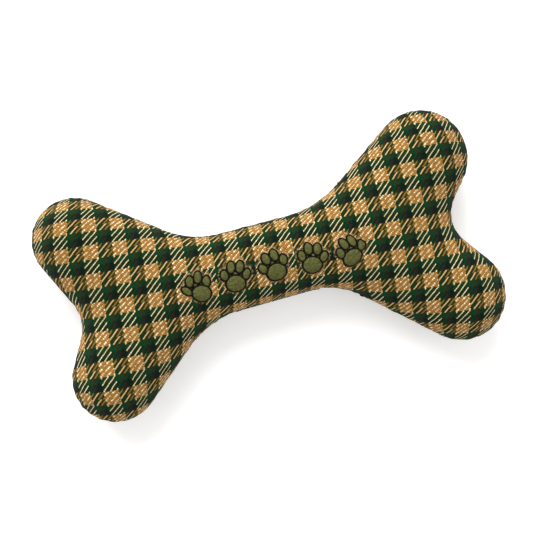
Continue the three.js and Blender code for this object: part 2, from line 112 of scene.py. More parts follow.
for lamp in lamps:
    light = bpy.data.lights.new(lamp["name"], "AREA")
    light.size = lamp["size"]
    light.energy = lamp["power"]
    lamp_object = placed(lamp["name"], light)
    lamp_object.location = lamp["place"]
    lamp_object.rotation_euler = (-Vector(lamp["place"])).to_track_quat("-Z", "Y").to_euler()


# Covers
# Two panels of wool tweed are cut to the same bone shape and sewn face to face 6 mm inside their edge.
# Turned right side out and stuffed hard, they swell from the seam, and their allowances lie inside it.
# Where the spine of the shaft forks, ribs fan out from it to the edge, and the swell follows them.

millimetre = 0.001
toy_place = np.array([-2.187, -0.776, 26.5])  # of the seam's middle
knob_out, knob_across, knob_radius = 121.7, 48.8, 30.4
shaft_half_width = 26.6
waist_out, waist_radius = 23.0, 62.7
notch_out, notch_radius = 131.3, 25.0
end_rise, shaft_rise = 27.0, 23.0
fork_out, fork_edge_out = 88.0, 60.0
hollow_reach = 80.0  # a side's path runs steadily along the bone up to here
cloth_thickness = 1.2
seam_gap = 0.15  # from the seam's plane to each cover
seam_allowance = 6.0
fold_radius = 1.3
smoothing = 11.0  # stations over which the ribs' swell is evened out
lump_height, lumps_round_toy = 0.7, range(5, 26)
pucker_height, puckers_round_toy = 0.16, range(60, 150, 3)

corners = [
    dict(end=1, side=1, out=0.98, across=1.015, radius=1.08,
         waist_out=0.71, waist=1.145, half_width=1.19),
    dict(end=-1, side=1, out=1.015, across=0.98, radius=0.94,
         waist_out=1.34, waist=0.92, half_width=1.14),
    dict(end=-1, side=-1, out=0.975, across=0.985, radius=0.955,
         waist_out=0.93, waist=1.09, half_width=0.865),
    dict(end=1, side=-1, out=1.03, across=1.02, radius=1.025,
         waist_out=1.02, waist=0.85, half_width=0.805),
]
notches = [
    dict(end=-1, out=1.007, drift=-0.19, radius=1.055),
    dict(end=1, out=0.993, drift=0.1, radius=0.945),
]

knob_stations, branch_stations, shaft_stations = 96, 40, 132
arc_points = 241
dome_rings, fold_rings, allowance_rings = 36, 5, 4


def knob_round(corner):
    """Centre and radius of the round end of a knob."""
    centre = (corner["end"] * knob_out * corner["out"], corner["side"] * knob_across * corner["across"])
    return np.array(centre), knob_radius * corner["radius"]


def waist_round(corner):
    """Centre and negative radius of the hollow between the shaft and a knob."""
    radius = waist_radius * corner["waist"]
    across = shaft_half_width * corner["half_width"] + radius
    return np.array((corner["end"] * waist_out * corner["waist_out"], corner["side"] * across)), -radius


def notch_round(notch):
    """Centre and negative radius of the hollow between the two knobs of an end."""
    radius = notch_radius * notch["radius"]
    out = notch_out * notch["out"] + radius
    return np.array((notch["end"] * out, notch_radius * notch["drift"])), -radius


right_top, left_top, left_bottom, right_bottom = corners
left_notch, right_notch = notches
rounds = [  # counter-clockwise, with the knobs as numbers 0, 3, 5 and 8
    knob_round(right_top), waist_round(right_top), waist_round(left_top), knob_round(left_top),
    notch_round(left_notch), knob_round(left_bottom), waist_round(left_bottom),
    waist_round(right_bottom), knob_round(right_bottom), notch_round(right_notch),
]


def heading_after(index):
    """Heading of the straight line that leaves a round and reaches the next, touching both."""
    (start, first_turn), (stop, second_turn) = (rounds[number % len(rounds)] for number in (index, index + 1))
    reach = stop - start
    return np.arctan2(reach[1], reach[0]) - np.arcsin((second_turn - first_turn) / np.hypot(*reach))


def arc(index, inset):
    """Points round one of the rounds, from the line that reaches it to the line that leaves it."""
    centre, turn = rounds[index % len(rounds)]
    quarter = np.sign(turn) * np.pi / 2
    begin, end = heading_after(index - 1) - quarter, heading_after(index) - quarter
    sweep = np.sign(turn) * (np.sign(turn) * (end - begin) % (2 * np.pi))
    angles = begin + sweep * np.linspace(0, 1, arc_points)
    return centre + abs(turn - inset) * np.column_stack((np.cos(angles), np.sin(angles)))


def hollow_path(first, last, inset):
    """From one knob to the next, round the hollows between them."""
    hollows = [arc(index, inset) for index in range(first + 1, last)]
    return np.concatenate([arc(first, inset)[-1:], *hollows, arc(last, inset)[:1]])


def run_along(path):
    """Length of a path up to each of its points."""
    steps = np.linalg.norm(np.diff(path, axis=0), axis=1)
    return np.concatenate(([0], np.cumsum(steps)))


def evenly(path, shares):
    """Points of a flat path at these shares of its length."""
    run = run_along(path)
    return np.column_stack([np.interp(shares, run / run[-1], path[:, axis]) for axis in (0, 1)])


def rib_reach(x):
    """How far along the bone a rib reaches the side: square in the middle and fanned at the forks."""
    return x - (fork_out - fork_edge_out) * (x / fork_out) ** 3


def side_span(first, last, inset):
    """One side of the bone between two knobs, with its stations where the ribs reach it."""
    path = hollow_path(first, last, inset)
    run = run_along(path)
    rightward = np.sign(path[-1, 0])
    near = np.abs(path[:, 0]) < hollow_reach
    ribs = rib_reach(fork_out * np.linspace(-1, 1, shaft_stations + 1))
    shares = np.interp(ribs, rightward * path[near, 0], run[near] / run[-1])
    before = shares[0] * np.arange(branch_stations) / branch_stations
    after = shares[-1] + (1 - shares[-1]) * np.arange(branch_stations) / branch_stations
    return evenly(path, np.concatenate((before, shares[:-1], after)))


def outline(inset):
    """The whole outline, drawn in by inset, counter-clockwise from the right upper knob."""
    fan = np.arange(knob_stations) / knob_stations
    valley = np.arange(2 * branch_stations) / (2 * branch_stations)
    return np.concatenate([
        evenly(arc(0, inset), fan), side_span(0, 3, inset),
        evenly(arc(3, inset), fan), evenly(hollow_path(3, 5, inset), valley),
        evenly(arc(5, inset), fan), side_span(5, 8, inset),
        evenly(arc(8, inset), fan), evenly(hollow_path(8, 10, inset), valley),
    ])


bow = shaft_half_width * np.mean([corner["side"] * corner["half_width"] for corner in corners])


def spine_line():
    """The partner on the middle line of each point of the outline: straight from knob to fork and on."""
    inward = np.arange(branch_stations)[:, None] / branch_stations
    along = fork_out * (1 - 2 * np.arange(shaft_stations) / shaft_stations)
    shaft = np.column_stack((along, bow * (1 - np.abs(along) / fork_out)))
    left_fork = np.array([[-fork_out, 0.0]])
    after_fork = {0: shaft, 2: np.concatenate((left_fork, shaft[:0:-1]))}
    parts = []
    for number, corner in enumerate(corners):
        partner = corners[(number + 1) % len(corners)]
        centre, partner_centre = knob_round(corner)[0], knob_round(partner)[0]
        fork, partner_fork = (np.array([each["end"] * fork_out, 0.0]) for each in (corner, partner))
        parts.append(np.repeat(centre[None], knob_stations, axis=0))
        parts.append(centre + (fork - centre) * inward)
        if number in after_fork:
            parts.append(after_fork[number])
        parts.append(partner_fork + (partner_centre - partner_fork) * inward)
    return np.concatenate(parts)


def blurred(grid, spread):
    """Each ring of a grid, smoothed round the toy by its own spread in stations, as a bell curve does."""
    waves = np.fft.fft(grid, axis=1)
    pitch = 2 * np.pi * np.fft.fftfreq(grid.shape[1])
    return np.fft.ifft(waves * np.exp(-(spread[:, None, None] * pitch[None, :, None]) ** 2 / 2), axis=1).real


def ripples(waves, seed):
    """A closed line of small ups and downs round the toy: a sum of sines of random height and phase."""
    draw = np.random.default_rng(seed)
    turns = 2 * np.pi * np.arange(station_count)[None] / station_count
    heights = draw.normal(size=(len(waves), 1)) / np.sqrt(len(waves))
    phases = draw.uniform(0, 2 * np.pi, (len(waves), 1))
    return (heights * np.sin(np.array(waves)[:, None] * turns + phases)).sum(0)


def outward_normals(grid):
    """Unit normals of a grid whose rows go outwards and whose columns go round."""
    round_way = np.roll(grid, -1, axis=1) - np.roll(grid, 1, axis=1)
    out_way = np.gradient(grid, axis=0)
    normals = np.cross(out_way, round_way)
    length = np.linalg.norm(normals, axis=2, keepdims=True)
    normals = np.where(length > 1e-6, normals / np.maximum(length, 1e-9), (0, 0, 1))
    normals[0] = (0, 0, 1)
    return normals


spine = spine_line()
sewn_edge = outline(0.0)
station_count = len(spine)
fork_nearness = (np.abs(spine[:, 0]) / fork_out).clip(0, 1)
half_thickness = shaft_rise + (end_rise - shaft_rise) * fork_nearness ** 2 * (3 - 2 * fork_nearness)


def swollen_half(seed):
    """Outer face of one cover above the seam's plane: quarter ellipses from the spine to the edge,
    smoothed round the toy, then a rounded fold and the allowance that lies inside the seam."""
    tilt = np.linspace(0, np.pi / 2, dome_rings + 1)[:, None]
    flat = spine + (sewn_edge - spine) * np.sin(tilt)[..., None]
    flat = blurred(flat, smoothing * np.sin(2 * tilt[:, 0]) ** 1.5)
    foot = seam_gap + fold_radius
    height = foot + (half_thickness - foot) * np.cos(tilt)
    dome = np.concatenate((flat, height[..., None]), axis=2)
    lumps = ripples(lumps_round_toy, seed) * lump_height * np.sin(tilt) * np.cos(tilt)
    puckers = ripples(puckers_round_toy, seed + 1) * pucker_height * np.sin(tilt) ** 12
    dome += outward_normals(dome) * (lumps + puckers)[..., None]
    fold = []
    for angle in np.linspace(0, np.pi / 2, fold_rings + 1)[1:]:
        line = outline(fold_radius * (1 - np.cos(angle)))
        line_height = np.full((station_count, 1), foot - fold_radius * np.sin(angle))
        fold.append(np.concatenate((line, line_height), axis=1))
    for inset in np.linspace(fold_radius, seam_allowance, allowance_rings + 1)[1:]:
        fold.append(np.concatenate((outline(inset), np.full((station_count, 1), seam_gap)), axis=1))
    return np.concatenate((dome, np.array(fold)))


def grid_faces(rows, columns, closed_rows=False):
    """Corner numbers of the faces between the points of a grid whose columns go round, as rows x
    columns x 4."""
    row = np.arange(rows if closed_rows else rows - 1)[:, None] * columns
    column = np.arange(columns)[None]
    next_row, next_column = (row + columns) % (rows * columns), (column + 1) % columns
    return np.stack((row + column, row + next_column, next_row + next_column, next_row + column), axis=-1)


def welded(mesh, reach):
    """Join a mesh's doubled points."""
    shape = bmesh.new()
    shape.from_mesh(mesh)
    bmesh.ops.remove_doubles(shape, verts=shape.verts, dist=reach)
    shape.to_mesh(mesh)
    shape.free()


def grid_piece(name, points, closed_rows=False, maps=None):
    """A piece made of a grid of points in millimetres, with doubled points joined and faces outwards.
    Maps give, for each name, the two numbers that every face has at its four corners."""
    faces = grid_faces(*points.shape[:2], closed_rows)
    place = points.reshape(-1, 3)
    a, b, c, d = (place[faces[..., k]] for k in range(4))
    volume = (np.cross(b - a, c - a) * a).sum() + (np.cross(c - a, d - a) * a).sum()
    turn = slice(None, None, -1) if volume < 0 else slice(None)
    mesh = bpy.data.meshes.new(name)
    mesh.from_pydata(place * millimetre, [], faces[..., turn].reshape(-1, 4))
    for map_name, values in (maps or {}).items():
        layer = mesh.uv_layers.new(name=map_name)
        layer.data.foreach_set("uv", values[..., turn, :].astype(np.float32).ravel())
    welded(mesh, 1e-7)
    mesh.shade_smooth()
    return placed(name, mesh)


def at_corners(values):
    """Numbers given at a grid's points, as each face has them at its four corners."""
    return values.reshape(-1, values.shape[2])[grid_faces(*values.shape[:2])]


def cloth_places(outer):
    """Where each point of a cover was on the flat cloth: as far from the spine as the cloth between
    them is long, in the direction in which it lies from there."""
    run = np.linalg.norm(np.diff(outer, axis=0), axis=2)
    length = np.concatenate((np.zeros((1, station_count)), np.cumsum(run, axis=0)))
    out = outer[..., :2] - spine
    flat_length = np.linalg.norm(out, axis=2)
    stretch = np.where(flat_length > 1e-6, length / np.maximum(flat_length, 1e-6), 1)
    stretch[dome_rings + 1:] = length[dome_rings + 1:] / flat_length[dome_rings]
    out[dome_rings + 1:] = out[dome_rings]
    return spine + out * stretch[..., None], length


def bake_layout(outer_rows, all_rows):
    """A layout that fills a square: the outer face in four strips, and the lining in a thin one."""
    strips, margin, foot = 4, 0.004, 0.005
    strip_pitch, strip_height, lining_height = 0.235, 0.225, 0.05
    length = station_count // strips
    column = np.arange(station_count)[None, :, None]
    row = np.arange(all_rows - 1)[:, None, None]
    corner_column, corner_row = column + (0, 1, 1, 0), row + (0, 0, 1, 1)
    strip = column // length
    outer_along = (corner_column - strip * length) / length
    outer_up = strip_pitch * strip + strip_height * corner_row / outer_rows
    lining_up = strips * strip_pitch + lining_height * (corner_row - outer_rows) / (all_rows - outer_rows)
    is_outer = row < outer_rows
    along = margin + (1 - 2 * margin) * np.where(is_outer, outer_along, corner_column / station_count)
    return np.stack((along, foot + np.where(is_outer, outer_up, lining_up)), axis=-1)


paw_count, paw_pitch, paw_height, paw_drop, paw_tilt = 5, 26.5, 24.0, 3.0, 12.0
# The last is how far the painted highlight reaches on the cloth round the prints.
pull_depth, pull_reach, stitch_highlight_reach = 0.75, 3.2, 2.3
crimp_share, crimps_round_pad = 0.35, 9
paw_pads = [
    dict(across=0.0, up=-0.2, wide=0.27, high=0.23, tilt=0.0),
    dict(across=-0.31, up=0.05, wide=0.1, high=0.145, tilt=16.0),
    dict(across=-0.125, up=0.26, wide=0.105, high=0.16, tilt=4.0),
    dict(across=0.125, up=0.26, wide=0.105, high=0.16, tilt=-4.0),
    dict(across=0.31, up=0.05, wide=0.1, high=0.145, tilt=-16.0),
]


def turned(across, up, degrees):
    """Flat points turned counter-clockwise about the middle."""
    cosine, sine = np.cos(np.radians(degrees)), np.sin(np.radians(degrees))
    return across * cosine - up * sine, across * sine + up * cosine


def paw_spot(number):
    """How far along the shaft from its middle a print stands, and how it is turned."""
    return (number - (paw_count - 1) / 2) * paw_pitch, -paw_tilt if number % 2 else paw_tilt


def beside_stitches(along, across, reach):
    """How near the cloth is to the embroidery: about 1 at each pad's edge, and fading outwards."""
    nearness = np.zeros_like(along)
    for number in range(paw_count):
        spot, tilt = paw_spot(number)
        x, y = turned(along - spot, across + paw_drop, -tilt)
        for pad in paw_pads:
            wide, high = pad["wide"] * paw_height, pad["high"] * paw_height
            px, py = turned(x - pad["across"] * paw_height, y - pad["up"] * paw_height, -pad["tilt"])
            outside = (np.hypot(px / wide, py / high) - 1) * min(wide, high)
            crimp = 1 + crimp_share * np.cos(crimps_round_pad * np.arctan2(py, px) + number)
            nearness = np.maximum(nearness, np.exp(-(np.maximum(outside, 0) / reach) ** 2) * crimp)
    return np.nan_to_num(nearness)


upper_shaft_start = knob_stations + branch_stations
lower_shaft_start = 3 * knob_stations + 5 * branch_stations + shaft_stations


def across_shaft(length):
    """Signed length of cloth across the shaft of each point of the dome, and no number off the shaft."""
    station = np.arange(station_count)
    side = np.full(station_count, np.nan)
    side[(station >= lower_shaft_start) & (station <= lower_shaft_start + shaft_stations)] = -1.0
    side[(station >= upper_shaft_start) & (station <= upper_shaft_start + shaft_stations)] = 1.0
    return side * length


front_outer = swollen_half(seed=3)
front_flat, front_length = cloth_places(front_outer)
front_dome = front_outer[: dome_rings + 1]
dome_across = across_shaft(front_length[: dome_rings + 1])
dome_along = np.broadcast_to(spine[:, 0], dome_across.shape)
stitch_pull = pull_depth * beside_stitches(dome_along, dome_across, pull_reach)
front_dome -= outward_normals(front_dome) * stitch_pull[..., None]
front_normals = outward_normals(front_dome)

back_outer = swollen_half(seed=8)
back_flat, _ = cloth_places(back_outer)


def lined(outer):
    """A cover's outer face and, past its raw edge, the inner face one thickness of cloth below it."""
    inner = outer - outward_normals(outer) * cloth_thickness
    return np.concatenate((outer, inner[::-1]))


floor_give = 0.35  # the back cover is pressed flat where it would reach the floor
front_shell = lined(front_outer) + toy_place
back_shell = lined(back_outer) * (1, 1, -1) + toy_place
back_shell[..., 2] = (back_shell[..., 2] + np.sqrt(back_shell[..., 2] ** 2 + floor_give ** 2)) / 2

threads_per_repeat = 20
front_middle, back_middle = (113.44, -7.4), (104.0, 4.0)  # warp and weft threads at the bone's middle
front_grain = ((1.12, 0.064), (-0.069, 1.055))  # threads to a millimetre: along the bone, and across it
back_grain = ((1.07, -0.05), (0.05, 1.06))
warp_shear, warp_fan, warp_stretch, weft_stretch = 3.2e-4, 6.8e-6, -2.64e-6, 3.7e-4


def front_threads(flat):
    """Warp and weft threads counted along the bone and across it: the grain leans a little against
    the bone, and the warp fans out where the cloth is stretched over the knobs."""
    x, y = flat[..., 0], flat[..., 1]
    warp_more = warp_shear * x * y + warp_fan * x * y ** 2 + warp_stretch * x ** 3
    return flat @ front_grain + front_middle + np.stack((warp_more, weft_stretch * y ** 2), axis=-1)


def back_threads(flat):
    """The same for the back cover, which was cut elsewhere on the cloth with a slight turn."""
    return flat @ back_grain + back_middle


def cover_piece(name, shell, threads, rubbed):
    """One cover, with its bake layout, its thread count in repeats of the check and its nearness to the
    embroidery, where the cloth gets a painted highlight, as maps."""
    repeats = np.concatenate((threads, threads[::-1])) / threads_per_repeat
    maps = {
        "OFBake": bake_layout(len(threads), len(shell)),
        "threads": at_corners(repeats),
        "rubbed": at_corners(np.stack((rubbed, rubbed), axis=-1)),
    }
    return grid_piece(name, shell, maps=maps)


# Nearness of the front cover to the embroidery, for the painted highlight round the prints; the back cover
# has none.
no_stitch_highlight = np.zeros(front_shell.shape[:2])
front_stitch_highlight = no_stitch_highlight.copy()
front_stitch_highlight[: dome_rings + 1] = beside_stitches(dome_along, dome_across, stitch_highlight_reach)
front_cover = cover_piece("front_cover", front_shell, front_threads(front_flat), front_stitch_highlight)
back_cover = cover_piece("back_cover", back_shell, back_threads(back_flat), no_stitch_highlight)


def dye(red, green, blue):
    """A colour as it is seen, from 0 to 255, as the linear colour that the shader mixes."""
    seen = np.array([red, green, blue]) / 255
    linear = np.where(seen <= 0.04045, seen / 12.92, ((seen + 0.055) / 1.055) ** 2.4)
    return (*linear, 1.0)


def feed(node, inputs):
    """Set a node's inputs to numbers or colours, or link them to what works them out."""
    for place, value in dict(inputs).items():
        value = value.socket if isinstance(value, Reading) else value
        if isinstance(value, bpy.types.NodeSocket):
            node.id_data.links.new(value, node.inputs[place])
        else:
            node.inputs[place].default_value = value
    return node


def made(tree, kind, inputs=(), **settings):
    """A new node of a material, with its settings and inputs."""
    node = tree.nodes.new("ShaderNode" + kind)
    for name, value in settings.items():
        setattr(node, name, value)
    return feed(node, inputs)


class Reading:
    """A number in a material. Sums written with it are worked out by the material's Math nodes."""

    def __init__(self, socket):
        self.socket = socket
        self.tree = socket.id_data

    def step(self, operation, *others):
        """What one Math node makes of the number and of any others."""
        return Reading(made(self.tree, "Math", enumerate((self, *others)), operation=operation).outputs[0])

    __add__ = partialmethod(step, "ADD")
    __sub__ = partialmethod(step, "SUBTRACT")
    __mul__ = partialmethod(step, "MULTIPLY")
    __truediv__ = partialmethod(step, "DIVIDE")
    power = partialmethod(step, "POWER")
    larger = partialmethod(step, "MAXIMUM")
    above = partialmethod(step, "GREATER_THAN")
    below = partialmethod(step, "LESS_THAN")
    size = partialmethod(step, "ABSOLUTE")
    part = partialmethod(step, "FRACT")

    def from_middle(self):
        """0 halfway between two whole numbers, and 1 at each of them."""
        return (self.part() - 0.5).size() * 2.0

    def one_less(self, share=1.0):
        """1 less a share of the number."""
        return self * -share + 1.0

    def varied(self, share):
        """A factor round 1 that follows random numbers from 0 to 1."""
        return (self - 0.5) * share + 1.0

    def ease(self, low, high):
        """0 below low and 1 above high, with a smooth step between them."""
        inputs = {"Value": self, "From Min": low, "From Max": high}
        return Reading(made(self.tree, "MapRange", inputs, interpolation_type="SMOOTHSTEP").outputs[0])


def finish_named(name):
    """A new material, with its node tree, its shader and the place on a piece in metres."""
    material = bpy.data.materials.new(name)
    material.use_nodes = True
    tree = material.node_tree
    return material, tree, tree.nodes["Principled BSDF"], made(tree, "TexCoord").outputs["Object"]


def own_map(tree, name):
    """One of a piece's own maps, as a vector."""
    return made(tree, "UVMap", uv_map=name).outputs["UV"]


def along_axes(tree, vector):
    """The three numbers of a vector."""
    return [Reading(output) for output in made(tree, "SeparateXYZ", {0: vector}).outputs]


def noise(tree, vector, scale, detail=2.0, roughness=0.5):
    """Soft random numbers from 0 to 1 at each point of a vector."""
    inputs = {"Vector": vector, "Scale": scale, "Detail": detail, "Roughness": roughness}
    return Reading(made(tree, "TexNoise", inputs).outputs["Fac"])


def stripes(tree, reading, colours):
    """The colour of each thread of a repeat, from a list of stops and colours."""
    node = made(tree, "ValToRGB", {"Fac": reading})
    node.color_ramp.interpolation = "CONSTANT"
    elements = node.color_ramp.elements
    elements.remove(elements[1])
    elements[0].position, elements[0].color = colours[0]
    for place, colour in colours[1:]:
        elements.new(place).color = colour
    return node.outputs["Color"]


def mixed(tree, share, first, second, blend="MIX"):
    """One colour mixed into another by a share."""
    sockets = {0: share, 6: first, 7: second}
    return made(tree, "Mix", sockets, data_type="RGBA", blend_type=blend).outputs[2]


def layered(tree, colour, layers):
    """A colour with others laid over it in turn, each by its share."""
    for share, layer in layers:
        colour = mixed(tree, share, colour, layer)
    return colour


def raised(tree, height, rise):
    """Bump from a height between 0 and 1 that stands for a rise in millimetres."""
    return made(tree, "Bump", {"Height": height, "Distance": rise * millimetre}).outputs["Normal"]


# Ivory is only painted on as a highlight: a glint on the crowns of the light warp floats.
straw, oat, cream, highlight_ivory = dye(160, 116, 52), dye(202, 165, 106), dye(216, 194, 138), dye(248, 236, 206)
# Ochre is peach weft in painted shade, where its floats dip between the dark warps.
biscuit, peach, shaded_ochre = dye(157, 111, 46), dye(216, 175, 114), dye(140, 108, 40)
# Moss green is painted shade: the dark wefts in the grooves between the cream floats are evened towards it.
leaf_green, shadow_green, dark_green = dye(15, 58, 27), dye(20, 44, 25), dye(16, 44, 24)
olive_drab = dye(58, 58, 30)
# A lighter tan, painted on the cloth round the prints as a highlight where the stitches raise it.
highlight_tan = dye(228, 184, 130)
bark_brown, umber, near_black = dye(52, 36, 29), dye(38, 30, 26), dye(8, 27, 17)

light_warps, light_wefts = 9, 11  # of 20; the other band has more or fewer threads of its own width
slack_grain, slub_grain, fibre_grain, fuzz_grain = 0.22, 0.62, 2.6, 1.1  # noise waves to a thread
thread_rise, fibre_rise = 0.35, 0.3  # of the bump, in millimetres and as a share of it
warp_dyes = [
    (0.0, oat), (0.125, straw), (0.225, oat), (0.35, straw),
    (0.45, leaf_green), (0.67, bark_brown), (0.77, umber), (0.82, near_black),
]
weft_dyes = [(0.0, biscuit), (0.55, near_black), (0.78, leaf_green)]

# Places, in threads
first_line = 1.0  # from a repeat's corner to the middle of the first warp float
restart = -1.0  # by which the floats step aside where the wefts turn light
dark_restart = -0.7  # and by which they step aside there once more, where the warps turn dark
misstep = 2.1  # and back again, where the first light wefts cross the last dark warps
# A dull float is a peach weft float in painted shade.
misstep_start, shaded_start = 8.3, 7.3  # from the diagonal through the repeat's corner
bright_missteps = 6.1  # from there to the next dull float, where the floats have stepped back
corner_reach = 3.3  # from that diagonal to the end of the block's upper corner
warp_wander, weft_wander = 0.8, 0.6  # by which the threads stray
float_lean = 0.3  # from a float's middle to its edge, along it
missteps_below, olive_above, hidden_above = 0.25, 0.8, 0.58  # shares of the repeat

# Shares of a float's width and height, and of a colour
cream_narrowing, peach_narrowing, float_edge = 0.54, 0.26, 0.1
# The glint is a painted highlight on a float, and the groove a painted shade between threads.
float_fall, glint_fall, groove_shade_fall = 0.45, 0.6, 0.6  # towards the ends of a float
green_ground, olive_ground, shadow_ground, dark_merging = 0.7, 0.6, 0.6, 0.6
fibre_variety, slub_variety, painted_halo_strength = 0.9, 0.5, 0.7
hollow_shade, crown_shade, brightest_shade = 0.56, 0.55, 1.3
glint_crown, glint_slubs = (0.4, 1.0), (0.42, 0.68)  # where a glint begins and where it is full
painted_halo_edge, fuzz_weight = (1.25, 1.9), 1.6  # where the halo begins and is full, and what fuzz adds to it


def counted(place, light):
    """Threads up to a place in the repeat, whose first half holds the light ones and its second half
    the rest."""
    beyond = place.above(0.5)
    spare = 2.0 * light - threads_per_repeat
    return place * (beyond * -2.0 * spare + 2.0 * light) + beyond * spare


def tweed_finish():
    """A 2/2 twill of twenty threads a repeat, both ways. Where U - V wraps into one half of four
    threads the warp lies on top, and in the other half the weft, so the floats step up to the right
    in a diagonal. Light floats lie narrower than the dark ground between them."""
    material, tree, shader, _ = finish_named("tweed")
    inputs = {0: own_map(tree, "threads"), "Scale": threads_per_repeat}
    threads = made(tree, "VectorMath", inputs, operation="SCALE").outputs["Vector"]
    warp_count, weft_count, _ = along_axes(tree, threads)
    slack = noise(tree, threads, slack_grain, detail=3.0, roughness=0.65) - 0.5
    slubs = noise(tree, threads, slub_grain)
    fibres = noise(tree, threads, fibre_grain, detail=3.0, roughness=0.65)
    fuzz = noise(tree, threads, fuzz_grain, roughness=0.6)

    across = ((warp_count + slack * warp_wander) / threads_per_repeat).part()
    upward = ((weft_count - slack * weft_wander) / threads_per_repeat).part()
    u, v = counted(across, light_warps), counted(upward, light_wefts)
    from_corner = u - v
    light_weft = upward.below(0.5)
    misstepped = from_corner.above(misstep_start) * upward.below(missteps_below)
    across_twill = from_corner - first_line - light_weft * restart - misstepped * misstep
    across_twill = across_twill - across.above(0.5) * light_weft * dark_restart
    from_warp = across_twill.step("WRAP", 2.0, -2.0)
    from_weft = (across_twill - 2.0).step("WRAP", 2.0, -2.0)

    warp_along, weft_along = u - from_warp * float_lean, v + from_weft * float_lean
    warp_place = ((warp_along.step("FLOOR") + 0.5) / threads_per_repeat).part()
    weft_place = ((weft_along.step("FLOOR") + 0.5) / threads_per_repeat).part()
    warp_is_light = warp_place.below(light_warps / threads_per_repeat)
    weft_is_light = weft_place.below(light_wefts / threads_per_repeat)
    warp_is_dark, weft_is_dark = warp_is_light.one_less(), weft_is_light.one_less()
    cream_block, peach_block = warp_is_light * weft_is_dark, warp_is_dark * weft_is_light
    warp_half_width = cream_block * -cream_narrowing + peach_block * peach_narrowing + 1.0
    weft_half_width = warp_half_width * -1.0 + 2.0
    warp_on_top = (warp_half_width - from_warp.size()).ease(-float_edge, float_edge)

    warp_crown = (from_warp / warp_half_width).power(2.0).one_less()
    weft_crown = (from_weft / weft_half_width).power(2.0).one_less()
    crown = warp_crown.larger(weft_crown).larger(0.0).step("SQRT")
    bead = warp_along.from_middle() * warp_on_top + weft_along.from_middle() * warp_on_top.one_less()
    bead = bead.power(2.0)
    height = crown * bead.one_less(float_fall)
    # Painted highlight: a glint on the crowns of the light warp floats, broken up by the slubs.
    glint = crown.ease(*glint_crown) * bead.one_less(glint_fall) * slubs.ease(*glint_slubs)

    # Painted shade: in the peach block's last lines and in its upper corner, the light weft floats are
    # coloured ochre, as where they dip between the dark warps.
    upper_corner = from_corner.below(corner_reach) * warp_is_dark
    shaded_float = from_corner.above(misstepped * bright_missteps + shaded_start) * warp_is_dark
    warp_colour = layered(tree, stripes(tree, warp_place, warp_dyes), [
        (cream_block, cream),
        (glint * warp_is_light, highlight_ivory),
        (peach_block * green_ground, dark_green),
        (warp_place.above(olive_above) * weft_is_light * olive_ground, olive_drab),
    ])
    # On the cream block the dark wefts are mixed towards moss green, as painted shade in the grooves.
    weft_colour = layered(tree, stripes(tree, weft_place, weft_dyes), [
        (cream_block * shadow_ground, shadow_green),
        (peach_block, peach),
        (shaded_float.larger(upper_corner) * weft_is_light, shaded_ochre),
        (upper_corner * weft_is_light * warp_place.above(hidden_above), dark_green),
    ])
    merging = (warp_is_dark * weft_is_dark).one_less(dark_merging)
    colour = mixed(tree, (warp_on_top - 0.5) * merging + 0.5, weft_colour, warp_colour)
    # Painted highlight: the cloth round the prints is mixed towards a lighter tan, its edge broken up by the
    # fuzz noise.
    rubbed = along_axes(tree, own_map(tree, "rubbed"))[0]
    painted_halo = (rubbed + fuzz * fuzz_weight).ease(*painted_halo_edge) * painted_halo_strength
    colour = mixed(tree, painted_halo, colour, highlight_tan)
    # Painted shade: the colour is darker in the hollows between floats and in the grooves between threads,
    # and lighter on their crowns; fibres and slubs vary its tone at random.
    shade = (height * crown_shade + hollow_shade) * bead.power(3.0).one_less(groove_shade_fall)
    shade = shade * fibres.varied(fibre_variety) * slubs.varied(slub_variety)
    colour = mixed(tree, 1.0, colour, shade.step("MINIMUM", brightest_shade), "MULTIPLY")
    feed(shader, {
        "Base Color": colour, "Normal": raised(tree, height + (fibres - 0.5) * fibre_rise, thread_rise),
        "Roughness": 0.92, "Sheen Weight": 0.02, "Sheen Roughness": 0.6, "Specular IOR Level": 0.05,
    })
    return material


def put_in(piece, node, slot, *finishes, body="toy"):
    """Give a piece its finishes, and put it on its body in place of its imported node."""
    for finish in finishes:
        piece.data.materials.append(finish)
    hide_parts(node)
    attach(piece, body)


def flattening(piece):
    """Give a piece a mesh of its own."""
    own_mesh(piece)


tweed = tweed_finish()
for cover, panel in ((front_cover, "front_panel"), (back_cover, "back_panel")):
    put_in(cover, panel, "tweed", tweed)
    flattening(cover)


# Seam threads
# A lockstitch joins the two allowances 3 mm inside the edge: a needle thread on the front one and a
# bobbin thread on the back one. Each stitch is 3 mm long and dips into the cloth at both its ends.

stitch_inset, stitch_length, stitch_steps = 3.0, 3.0, 6
seam_thread_radius, seam_thread_sides = 0.25, 6
thread_clearance, stitch_dip = 0.3, 0.3
closing_length = 60.0
closing_start = lower_shaft_start + shaft_stations // 2


def carried(path, across, up):
    """A section carried along a path: at each step its corners lie across and up from the path."""
    ahead = np.gradient(path, axis=0)
    ahead /= np.linalg.norm(ahead, axis=1, keepdims=True)
    side = np.cross(ahead, (0, 0, 1))
    side /= np.linalg.norm(side, axis=1, keepdims=True)
    rise = np.cross(side, ahead)
    return path[:, None] + across[..., None] * side[:, None] + up[..., None] * rise[:, None]


def round_thread(path, radius, sides, twist=0.0, ply=0.0):
    """A thread with closed ends: a circle carried along a path, drawn in between the two plies that
    turn round each other once in each length of twist."""
    run = run_along(path)[:, None]
    angle = 2 * np.pi * np.arange(sides)[None] / sides
    turn = 2 * np.pi * run / twist if twist else 0 * run
    size = radius * (1 - ply + ply * np.abs(np.cos(angle - turn)))
    size[[0, -1]] = 0
    return carried(path, size * np.cos(angle), size * np.sin(angle))


def whole_edge(inset):
    """The outline drawn in by inset, from the middle of the closing seam round to it again."""
    line = np.roll(outline(inset), -closing_start, axis=0)
    return np.concatenate((line, line[:1]))


